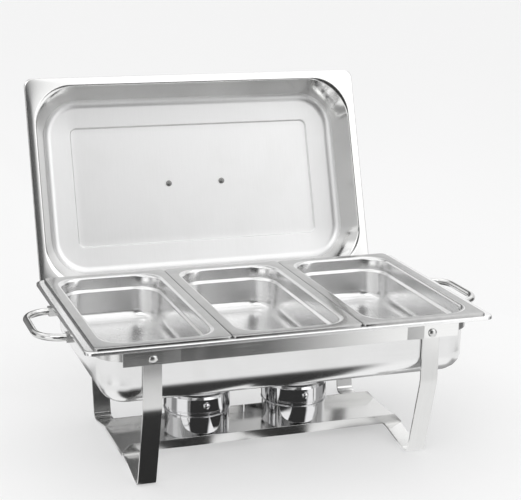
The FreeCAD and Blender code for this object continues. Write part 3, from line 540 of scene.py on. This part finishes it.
def boxMesh(name, reachX, reachY, bottom, top):
    mesh = bpy.data.meshes.new(name)
    outline = ((-reachX, -reachY), (reachX, -reachY), (reachX, reachY), (-reachX, reachY))
    corners = [(x, y, z) for z in (bottom, top) for x, y in outline]
    mesh.from_pydata(
        corners, [], [(3, 2, 1, 0), (4, 5, 6, 7), (0, 1, 5, 4), (1, 2, 6, 5), (2, 3, 7, 6), (3, 0, 4, 7)],
    )
    return mesh


def domed(radius, base, rise, steps=5):
    # profile of a shallow dome, from its edge to just off its crown
    return [
        (
            radius * math.cos(math.pi / 2 * k / (steps + 1)),
            base + rise * math.sin(math.pi / 2 * k / (steps + 1)),
        )
        for k in range(steps + 1)
    ]


def pointCloud(name, spots, aims):
    mesh = bpy.data.meshes.new(name)
    mesh.from_pydata(spots, [], [])
    aim = mesh.attributes.new("aim", "FLOAT_VECTOR", "POINT")
    for k, direction in enumerate(aims):
        aim.data[k].vector = direction
    cloud = bpy.data.objects.new(name, mesh)
    bpy.context.collection.objects.link(cloud)
    return cloud


def finishNodes(tree, placed, steel, out):
    # turns what was placed into plain mesh and gives it its material
    real = addNode(tree, "GeometryNodeRealizeInstances", {"Geometry": placed.outputs[0]})
    finished = addNode(tree, "GeometryNodeSetMaterial", {"Geometry": real.outputs[0], "Material": steel})
    tree.links.new(finished.outputs[0], out)


def studNodes():
    # one stud at each point, its Z along the point's aim
    tree, ins, outs = startGroup(
        "studsOnPoints", "GeometryNodeTree",
        [
            ("Points", "NodeSocketGeometry", None), ("Stud", "NodeSocketObject", None),
            ("Size", "NodeSocketFloat", 1.0), ("Steel", "NodeSocketMaterial", None),
        ],
        [("Studs", "NodeSocketGeometry", None)],
    )
    shape = addNode(tree, "GeometryNodeObjectInfo", {"Object": ins["Stud"]})
    aim = addNode(tree, "GeometryNodeInputNamedAttribute", {"Name": "aim"}, data_type="FLOAT_VECTOR")
    turn = addNode(tree, "FunctionNodeAlignRotationToVector", {"Vector": aim.outputs["Attribute"]}, axis="Z")
    placed = addNode(
        tree, "GeometryNodeInstanceOnPoints",
        {
            "Points": ins["Points"], "Instance": shape.outputs["Geometry"], "Rotation": turn.outputs[0],
            "Scale": ins["Size"],
        },
    )
    finishNodes(tree, placed, ins["Steel"], outs["Studs"])
    return tree


def weldNodes():
    # a run of small overlapping beads along each edge
    tree, ins, outs = startGroup(
        "beadAlongEdges", "GeometryNodeTree",
        [
            ("Edges", "NodeSocketGeometry", None), ("Bead Radius", "NodeSocketFloat", 0.0009),
            ("Bead Spacing", "NodeSocketFloat", 0.0011), ("Smallest", "NodeSocketFloat", 0.85),
            ("Largest", "NodeSocketFloat", 1.15), ("Steel", "NodeSocketMaterial", None),
        ],
        [("Weld", "NodeSocketGeometry", None)],
    )
    path = addNode(tree, "GeometryNodeMeshToCurve", {"Mesh": ins["Edges"]})
    even = addNode(
        tree, "GeometryNodeResampleCurve", {"Curve": path.outputs[0], "Length": ins["Bead Spacing"]},
        mode="LENGTH",
    )
    bead = addNode(tree, "GeometryNodeMeshIcoSphere", {"Radius": ins["Bead Radius"], "Subdivisions": 2})
    spread = addNode(
        tree, "FunctionNodeRandomValue", {2: ins["Smallest"], 3: ins["Largest"], "Seed": 7}, data_type="FLOAT",
    )
    placed = addNode(
        tree, "GeometryNodeInstanceOnPoints",
        {"Points": even.outputs[0], "Instance": bead.outputs[0], "Scale": spread.outputs[1]},
    )
    finishNodes(tree, placed, ins["Steel"], outs["Weld"])
    return tree


def rollNodes():
    # a rolled edge, as a ring of round section about each point
    tree, ins, outs = startGroup(
        "rolledEdge", "GeometryNodeTree",
        [
            ("Points", "NodeSocketGeometry", None), ("Ring Radius", "NodeSocketFloat", 0.04),
            ("Bead Radius", "NodeSocketFloat", 0.0007), ("Steel", "NodeSocketMaterial", None),
        ],
        [("Edge", "NodeSocketGeometry", None)],
    )
    ring = addNode(
        tree, "GeometryNodeCurvePrimitiveCircle", {"Resolution": 96, "Radius": ins["Ring Radius"]},
        mode="RADIUS",
    )
    section = addNode(
        tree, "GeometryNodeCurvePrimitiveCircle", {"Resolution": 10, "Radius": ins["Bead Radius"]},
        mode="RADIUS",
    )
    bead = addNode(
        tree, "GeometryNodeCurveToMesh", {"Curve": ring.outputs[0], "Profile Curve": section.outputs[0]},
    )
    placed = addNode(
        tree, "GeometryNodeInstanceOnPoints", {"Points": ins["Points"], "Instance": bead.outputs[0]},
    )
    finishNodes(tree, placed, ins["Steel"], outs["Edge"])
    return tree


def growNodes(source, tree, values):
    # runs the tree on the source with these inputs, and keeps the result as a plain mesh
    modifier = source.modifiers.new(tree.name, "NODES")
    modifier.node_group = tree
    sockets = {item.name: item.identifier for item in tree.interface.items_tree if item.in_out == "INPUT"}
    for name, value in values.items():
        modifier[sockets[name]] = value
    return plainMesh(source)


studsOnPoints = studNodes()
beadAlongEdges = weldNodes()
rolledEdge = rollNodes()

pivotRivet = {
    "head": 0.006, "shaft": 0.003, "backHead": 0.0054, "backFlat": 0.00432, "backRise": 0.0007,
    "stack": 0.0055, "dome": 0.003, "rim": 0.0008,
}
p = pivotRivet
crown = p["stack"] + p["dome"]
low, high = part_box("pivot_rivets")
rivetX, rivetZ = high.x - p["head"], (low.z + high.z) / 2
rivetY = high.y - dishY - crown
profile = [
    (0, -p["backRise"]), (p["backFlat"], -p["backRise"]), (p["backHead"], -p["backRise"] / 2),
    (p["backHead"], 0), (p["shaft"], 0), (p["shaft"], p["stack"]), (p["head"], p["stack"]),
    *domed(p["head"], p["stack"] + p["rim"], p["dome"] - p["rim"]), (0, crown),
]
rivetShape = bpy.data.objects.new("rivetShape", turnedMesh("rivetShape", profile))
spots = [(sideX * rivetX, dishY + sideY * rivetY, rivetZ) for sideX in (-1, 1) for sideY in (-1, 1)]
aims = [(0, sideY, 0) for sideX in (-1, 1) for sideY in (-1, 1)]
rivets = growNodes(
    pointCloud("domed_pivot_rivets", spots, aims), studsOnPoints,
    {"Stud": rivetShape, "Size": 1.0, "Steel": steels["fastenerSteel"]},
)
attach(rivets, "frame")
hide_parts("pivot_rivets")

lidScrew = {
    "spacing": 0.085, "head": 0.0045, "headRise": 0.0026, "headEdge": 0.00091, "shaft": 0.0024,
    "length": 0.0085, "slot": 0.0011, "slotReach": 0.0028, "slotFloor": 0.00104,
}
p = lidScrew
profile = [
    (0, -p["length"]), (p["shaft"], -p["length"]), (p["shaft"], 0), (p["head"], 0),
    *domed(p["head"], p["headEdge"], p["headRise"] - p["headEdge"]), (0, p["headRise"]),
]
screwShape = bpy.data.objects.new("screwShape", turnedMesh("screwShape", profile))
bpy.context.collection.objects.link(screwShape)
slots = []
for reachX, reachY in ((p["slotReach"], p["slot"] / 2), (p["slot"] / 2, p["slotReach"])):
    cutter = boxMesh("slotShape", reachX, reachY, p["slotFloor"], p["headRise"] * 2)
    slotShape = bpy.data.objects.new("slotShape", cutter)
    bpy.context.collection.objects.link(slotShape)
    cut = screwShape.modifiers.new("slot", "BOOLEAN")
    cut.operation, cut.object, cut.solver = "DIFFERENCE", slotShape, "EXACT"
    slots.append(slotShape)
plainMesh(screwShape)
for slotShape in slots:
    bpy.data.objects.remove(slotShape)
spots = [parked @ Vector((side * p["spacing"] / 2, 0, panelTop)) for side in (-1, 1)]
inward = parked.to_3x3() @ Vector((0, 0, -1))
screws = growNodes(
    pointCloud("cross_head_lid_screws", spots, [inward, inward]), studsOnPoints,
    {"Stud": screwShape, "Size": 1.0, "Steel": steels["screwSteel"]},
)
bpy.data.objects.remove(screwShape)
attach(screws, "lid")
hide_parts("lid_handle_screws")

lugWeld = {"radius": 0.0009, "spacing": 0.0011, "smallest": 0.85, "largest": 1.15}
points, edges = [], []
for side in ("left", "right"):
    for end in ("a", "b"):
        low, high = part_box(f"handle_lug_{side}_{end}")
        x = high.x if side == "left" else low.x
        start = len(points)
        points += [(x, low.y, low.z), (x, high.y, low.z), (x, high.y, high.z), (x, low.y, high.z)]
        edges += [(start + k, start + (k + 1) % 4) for k in range(4)]
mesh = bpy.data.meshes.new("lug_weld_beads")
mesh.from_pydata(points, edges, [])
welds = bpy.data.objects.new("lug_weld_beads", mesh)
bpy.context.collection.objects.link(welds)
growNodes(
    welds, beadAlongEdges,
    {
        "Bead Radius": lugWeld["radius"], "Bead Spacing": lugWeld["spacing"], "Smallest": lugWeld["smallest"],
        "Largest": lugWeld["largest"], "Steel": steels["fastenerSteel"],
    },
)
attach(welds, "frame")

capEdge = {"bead": 0.0008, "sink": 0.0003}
for side in ("left", "right"):
    low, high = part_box(f"burner_cap_{side}")
    middle = (low + high) / 2
    edge = pointCloud(f"cap_rolled_edge_{side}", [(middle.x, middle.y, low.z + capEdge["bead"])], [(0, 0, 1)])
    growNodes(
        edge, rolledEdge,
        {
            "Ring Radius": (high.x - low.x) / 2 - capEdge["sink"], "Bead Radius": capEdge["bead"],
            "Steel": steels["burnerChrome"],
        },
    )
    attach(edge, f"cap_{side}")
print("rivets, screws, welds and rolled edges placed")


def paint(nodes, material):
    for name in nodes:
        mesh = frame["nodes"][name].data
        mesh.materials.clear()
        mesh.materials.append(material)


paint(("front_rail", "rear_rail"), steels["railSteel"])
paint(("leg_left", "leg_right"), steels["legSteel"])
paint(("end_bracket_left", "end_bracket_right"), steels["bracketSteel"])
paint([name for name in frame["nodes"] if name.startswith("handle_")] + ["lid_handle"], steels["handleSteel"])
paint(("burner_shelf",), steels["shelfSteel"])
burnerPieces = ("burner_cup_", "burner_cap_", "damper_left", "damper_right", "cap_knob_")
paint([name for name in frame["nodes"] if name.startswith(burnerPieces)], steels["burnerChrome"])
paint(("damper_rivet_left", "damper_rivet_right"), steels["fastenerSteel"])
print("CAD nodes painted")


studio = {
    # how bright the room looks to polished metal, by degrees round from the front towards +X
    "walls": (
        (-180, 0.12), (-145, 0.4), (-138, 0.15), (-113, 0.15), (-108, 1.0), (-90, 1.0), (-84, 0.4),
        (-71, 0.4), (-66, 1.35), (-40, 1.35), (-35, 0.05), (20, 0.05), (26, 1.4), (47, 1.4), (51, 0.55),
        (77, 0.5), (82, 0.12), (110, 0.12), (116, 0.8), (152, 1.0), (158, 0.8), (166, 0.12),
    ),
    "upperWalls": (
        (-180, 0.08), (-165, 0.7), (-60, 0.9), (-50, 0.12), (7, 0.12), (10, 1.15), (17, 1.75), (60, 1.75),
        (90, 0.7), (152, 1.4), (158, 0.9), (165, 0.12),
    ),
    "upperStart": 0.335, "upperEnd": 0.37, "ceiling": 1.35, "ceilingStart": 0.62, "ceilingEnd": 0.74,
    "zenith": 0.62, "zenithStart": 0.8, "zenithEnd": 0.97, "roomLight": 1.0, "paper": 0.45,
    # the stripe glow, band glow, gloss and lift settings below are for the painted reflection disc
    "paperGlow": 0.45, "paintedStripeGlow": 0.75, "dishReach": 0.15, "stripeShift": (-0.008, -0.021),
    "widenFrom": 0.09, "widenTo": 0.14, "widenBy": 0.78, "paintedBandGlow": 0.95, "lightFrom": (0.12, 0.19),
    "lightTo": (0.425, 0.445), "glossFrom": 0.42, "glossTo": 0.56, "reflectionDiscGloss": 0.92,
    "reflectionDiscRoughness": 0.02, "reflectionDiscLift": 0.0004, "reach": 30.0,
}


def studioToneGroup():
    # tone of the studio in a direction: dark and white walls by turn, a ceiling, its middle dimmer
    tree, ins, outs = startGroup(
        "studioTone", "ShaderNodeTree",
        [("Direction", "NodeSocketVector", None)], [("Tone", "NodeSocketColor", None)],
    )
    parts = addNode(tree, "ShaderNodeSeparateXYZ", {0: ins["Direction"]}).outputs
    turn = addMath(tree, "ARCTAN2", parts["X"], addMath(tree, "MULTIPLY", parts["Y"], -1.0))
    share = addMath(tree, "ADD", addMath(tree, "DIVIDE", turn, math.tau), 0.5)
    brightest = studio["ceiling"] * 1.2
    rows = [
        addRamp(tree, share, [(degrees / 360 + 0.5, tone / brightest) for degrees, tone in studio[row]])
        for row in ("walls", "upperWalls")
    ]
    mixed = rows[0]
    above = (rows[1], *((studio[word] / brightest,) * 3 + (1,) for word in ("ceiling", "zenith")))
    for tone, word in zip(above, ("upper", "ceiling", "zenith")):
        start, end = studio[word + "Start"], studio[word + "End"]
        rise = addNode(
            tree, "ShaderNodeMapRange", {"Value": parts["Z"], "From Min": start, "From Max": end},
            interpolation_type="SMOOTHSTEP",
        )
        mixed = addNode(
            tree, "ShaderNodeMix", {0: rise.outputs[0], 6: mixed, 7: tone}, data_type="RGBA",
        ).outputs[2]
    scaled = addNode(tree, "ShaderNodeVectorMath", {0: mixed}, operation="SCALE")
    scaled.inputs["Scale"].default_value = brightest
    tree.links.new(scaled.outputs[0], outs["Tone"])
    return tree


def makeDisc(name, reach, height, steps=96):
    mesh = bpy.data.meshes.new(name)
    turns = [math.tau * k / steps for k in range(steps)]
    mesh.from_pydata(
        [(reach * math.cos(turn), reach * math.sin(turn), height) for turn in turns], [],
        [tuple(range(steps))],
    )
    disc = bpy.data.objects.new(name, mesh)
    bpy.context.collection.objects.link(disc)
    material = bpy.data.materials.new(name)
    material.use_nodes = True
    mesh.materials.append(material)
    return disc, material.node_tree


def makeFloor():
    _, tree = makeDisc("studioPaper", studio["reach"], 0)
    surface = tree.nodes["Principled BSDF"]
    place = addNode(tree, "ShaderNodeTexCoord").outputs["Object"]
    tooth = addNode(tree, "ShaderNodeTexNoise", {"Vector": place, "Scale": 300.0, "Detail": 2.0})
    paper = studio["paper"]
    tree.links.new(
        addRamp(tree, tooth.outputs[0], [(0.0, paper - 0.01), (1.0, paper + 0.01)]),
        surface.inputs["Base Color"],
    )
    surface.inputs["Roughness"].default_value = 0.9
    surface.inputs["Specular IOR Level"].default_value = 0.1
    surface.inputs["Emission Color"].default_value = (1, 1, 1, 1)
    surface.inputs["Emission Strength"].default_value = studio["paperGlow"]


def makePaintedReflectionDisc():
    # painted reflection for polished metal: a glowing disc striped about each burner, then a painted lit band,
    # then glossy; only reflections see it
    disc, tree = makeDisc("studioTable", studio["reach"], studio["reflectionDiscLift"])
    disc.active_material.cycles.emission_sampling = "NONE"
    tree.nodes.clear()
    place = addNode(tree, "ShaderNodeTexCoord").outputs["Object"]
    fromDish = addNode(
        tree, "ShaderNodeVectorMath", {0: place, 1: (0.0, -dishY, 0.0)}, operation="ADD",
    ).outputs[0]
    beyond = addNode(tree, "ShaderNodeVectorMath", {0: fromDish}, operation="ABSOLUTE").outputs[0]
    beyond = addNode(
        tree, "ShaderNodeVectorMath", {0: beyond, 1: (panBox[1].x, studio["dishReach"], 1.0)},
        operation="SUBTRACT",
    ).outputs[0]
    beyond = addNode(
        tree, "ShaderNodeVectorMath", {0: beyond, 1: (0.0, 0.0, 0.0)}, operation="MAXIMUM",
    ).outputs[0]
    distance = addNode(tree, "ShaderNodeVectorMath", {0: beyond}, operation="LENGTH").outputs["Value"]
    steps = []
    for start, end in (studio["lightFrom"], studio["lightTo"]):
        step = addNode(
            tree, "ShaderNodeMapRange", {"Value": distance, "From Min": start, "From Max": end},
            interpolation_type="SMOOTHSTEP",
        )
        steps.append(step.outputs[0])
    lit = addMath(tree, "SUBTRACT", steps[0], steps[1], clamp=True)
    facing = addNode(tree, "ShaderNodeLayerWeight", {"Blend": 0.5}).outputs["Facing"]
    gloss = addNode(
        tree, "ShaderNodeMapRange",
        {"Value": facing, "From Min": studio["glossFrom"], "From Max": studio["glossTo"]},
        interpolation_type="SMOOTHSTEP",
    )
    left, right = (sum(corner.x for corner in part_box(f"burner_cup_{side}")) / 2 for side in ("left", "right"))
    shiftX, shiftY = studio["stripeShift"]
    parts = addNode(tree, "ShaderNodeSeparateXYZ", {0: fromDish}).outputs
    toRight = addMath(tree, "GREATER_THAN", parts["X"], (left + right) / 2)
    middle = addMath(tree, "ADD", addMath(tree, "MULTIPLY", toRight, right - left), left + shiftX)
    across = addMath(tree, "SUBTRACT", parts["X"], middle)
    ahead = addMath(tree, "SUBTRACT", shiftY, parts["Y"])
    away = addMath(
        tree, "SQRT",
        addMath(tree, "ADD", addMath(tree, "POWER", across, 2.0), addMath(tree, "POWER", ahead, 2.0)),
    )
    widen = addNode(
        tree, "ShaderNodeMapRange",
        {
            "Value": away, "From Min": studio["widenFrom"], "From Max": studio["widenTo"], "To Min": 1.0,
            "To Max": studio["widenBy"],
        },
    )
    turn = addMath(tree, "MULTIPLY", addMath(tree, "ARCTAN2", across, ahead), widen.outputs[0])
    share = addMath(tree, "ADD", addMath(tree, "DIVIDE", turn, math.tau), 0.5)
    brightest = max(tone for _, tone in studio["walls"])
    stripes = addRamp(
        tree, share, [(degrees / 360 + 0.5, tone / brightest) for degrees, tone in studio["walls"]],
    )
    # painted reflection: dark and light stripes glowing about each burner
    dark = addNode(
        tree, "ShaderNodeEmission", {"Color": stripes, "Strength": brightest * studio["paintedStripeGlow"]},
    )
    # painted light: a glowing lit band round the dish
    light = addNode(tree, "ShaderNodeEmission", {"Color": (studio["paintedBandGlow"],) * 3 + (1,)})
    mirror = addNode(
        tree, "ShaderNodeBsdfGlossy",
        {"Color": (studio["reflectionDiscGloss"],) * 3 + (1,), "Roughness": studio["reflectionDiscRoughness"]},
    )
    glossy = addMath(tree, "MULTIPLY", gloss.outputs[0], steps[1])
    top = addNode(tree, "ShaderNodeMixShader", {0: glossy, 1: dark.outputs[0], 2: mirror.outputs[0]})
    banded = addNode(tree, "ShaderNodeMixShader", {0: lit, 1: top.outputs[0], 2: light.outputs[0]})
    output = addNode(tree, "ShaderNodeOutputMaterial")
    tree.links.new(banded.outputs[0], output.inputs[0])
    disc.visible_camera = disc.visible_diffuse = disc.visible_shadow = False


def makeRoom(tone):
    world = bpy.data.worlds.new("studio")
    bpy.context.scene.world = world
    world.use_nodes = True
    world.cycles.sampling_method = "NONE"  # only traced rays see the room, so each sees its own kind of it
    tree = world.node_tree
    tree.nodes.clear()
    way = addNode(tree, "ShaderNodeTexCoord").outputs["Generated"]
    walls = addNode(tree, "ShaderNodeGroup", {"Direction": way}, node_tree=tone)
    glossy = addNode(tree, "ShaderNodeLightPath").outputs["Is Glossy Ray"]
    mixed = addNode(tree, "ShaderNodeMix", {0: glossy}, data_type="RGBA")
    mixed.inputs[6].default_value = (studio["roomLight"],) * 3 + (1,)
    tree.links.new(walls.outputs["Tone"], mixed.inputs[7])
    background = addNode(tree, "ShaderNodeBackground", {"Color": mixed.outputs[2], "Strength": 1.0})
    output = addNode(tree, "ShaderNodeOutputWorld")
    tree.links.new(background.outputs[0], output.inputs[0])


lamps = {
    "keyLamp": {"place": (-1.4, -1.8, 2.4), "breadth": 1.6, "power": 10},
    "topLamp": {"place": (0.3, 0.2, 2.6), "breadth": 2.2, "power": 8},
}


def makeLamps():
    for name, settings in lamps.items():
        lamp = bpy.data.lights.new(name, "AREA")
        lamp.size = settings["breadth"]
        lamp.energy = settings["power"]
        holder = bpy.data.objects.new(name, lamp)
        holder.location = settings["place"]
        aim = Vector((0, dishY, 0.15)) - Vector(settings["place"])
        holder.rotation_euler = aim.to_track_quat("-Z", "Y").to_euler()
        bpy.context.collection.objects.link(holder)


camera = {
    "place": (-0.605, -1.687, 0.735), "yaw": -18.8, "pitch": 14.58, "roll": 0.86, "lens": 94.07,
    "shift": (0.045873, -0.002111),
}


def makeCamera():
    c = camera
    yaw, pitch, roll = (math.radians(c[word]) for word in ("yaw", "pitch", "roll"))
    ahead = Vector((-math.sin(yaw) * math.cos(pitch), math.cos(yaw) * math.cos(pitch), -math.sin(pitch)))
    right = Vector((math.cos(yaw), math.sin(yaw), 0))
    up = right.cross(ahead)
    right, up = math.cos(roll) * right + math.sin(roll) * up, math.cos(roll) * up - math.sin(roll) * right
    turn = Matrix((right, up, -ahead)).transposed()
    data = bpy.data.cameras.new("camera")
    data.sensor_fit = "HORIZONTAL"
    data.sensor_width = 36.0
    data.lens = c["lens"]
    data.shift_x, data.shift_y = c["shift"]
    data.clip_start, data.clip_end = 0.05, 100
    holder = bpy.data.objects.new("camera", data)
    holder.matrix_world = Matrix.Translation(Vector(c["place"]) + Vector((0, dishY, 0))) @ turn.to_4x4()
    bpy.context.collection.objects.link(holder)
    bpy.context.scene.camera = holder


studioTone = studioToneGroup()
makeFloor()
makePaintedReflectionDisc()
makeRoom(studioTone)
makeLamps()
makeCamera()
bpy.context.scene.view_settings.view_transform = "Standard"
print("studio ready")
